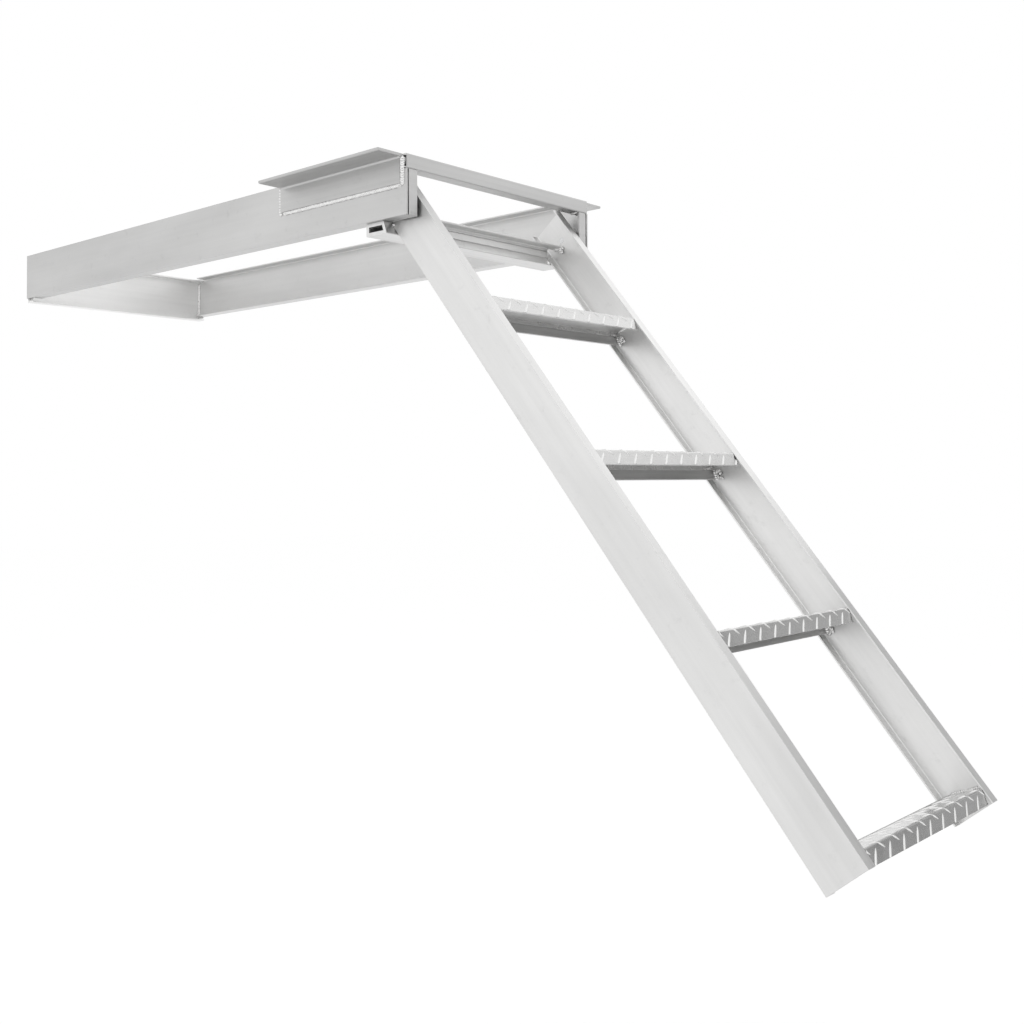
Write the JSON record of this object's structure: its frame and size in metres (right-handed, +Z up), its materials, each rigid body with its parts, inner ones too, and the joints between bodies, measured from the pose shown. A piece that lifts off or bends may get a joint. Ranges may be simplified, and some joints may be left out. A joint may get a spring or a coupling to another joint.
{
  "type": "boat ladder",
  "caption": "Sliding boarding ladder in a track frame that bolts under a deck; its channel rails with diamond-plate treads pull out and swing down.",
  "frame": {"origin": "middle of the flat top of the front crossbar, which lies against the underside of the deck, on the centre line", "axes": "+X away from the boat, the way the ladder comes out; +Y to the left; +Z up, out of the top of the frame"},
  "size_m": [2.0948, 0.5906, 1.0583],
  "materials": {
    "frame_aluminium": "mill finish extrusion, satin",
    "ladder_aluminium": "mill finish extrusion, satin",
    "tread_plate": "rolled diamond plate",
    "angle_aluminium": "mill finish extrusion, satin",
    "roller_nylon": "moulded nylon",
    "pin_steel": "stainless"
  },
  "bodies": {
    "frame": {"left_channel": "frame_aluminium", "right_channel": "frame_aluminium", "front_crossbar": "frame_aluminium", "rear_crossmember": "frame_aluminium", "left_end_cap": "frame_aluminium", "right_end_cap": "frame_aluminium", "left_deck_angle": "angle_aluminium", "right_deck_angle": "angle_aluminium"},
    "slider": {"left_pivot_pin": "pin_steel", "right_pivot_pin": "pin_steel", "left_spacer": "pin_steel", "right_spacer": "pin_steel", "left_roller": "roller_nylon", "right_roller": "roller_nylon", "left_retainer": "pin_steel", "right_retainer": "pin_steel"},
    "ladder": {"left_rail": "ladder_aluminium", "right_rail": "ladder_aluminium", "top_rung": "ladder_aluminium", "rung_backing": "ladder_aluminium", "stop_bar": "ladder_aluminium", "support_1": "ladder_aluminium", "support_2": "ladder_aluminium", "support_3": "ladder_aluminium", "support_4": "ladder_aluminium", "tread_1": "tread_plate", "tread_2": "tread_plate", "tread_3": "tread_plate", "tread_4": "tread_plate"}
  },
  "joints": [
    {"name": "track_slide", "type": "slide", "parent": "frame", "child": "slider", "axis": [1, 0, 0], "range_m": [-1.18, 0]},
    {"name": "ladder_swing", "type": "hinge", "parent": "slider", "child": "ladder", "pos_m": [-0.02532, 0, -0.07616], "axis": [0, -1, 0], "range_deg": [0, 50.5]}
  ]
}
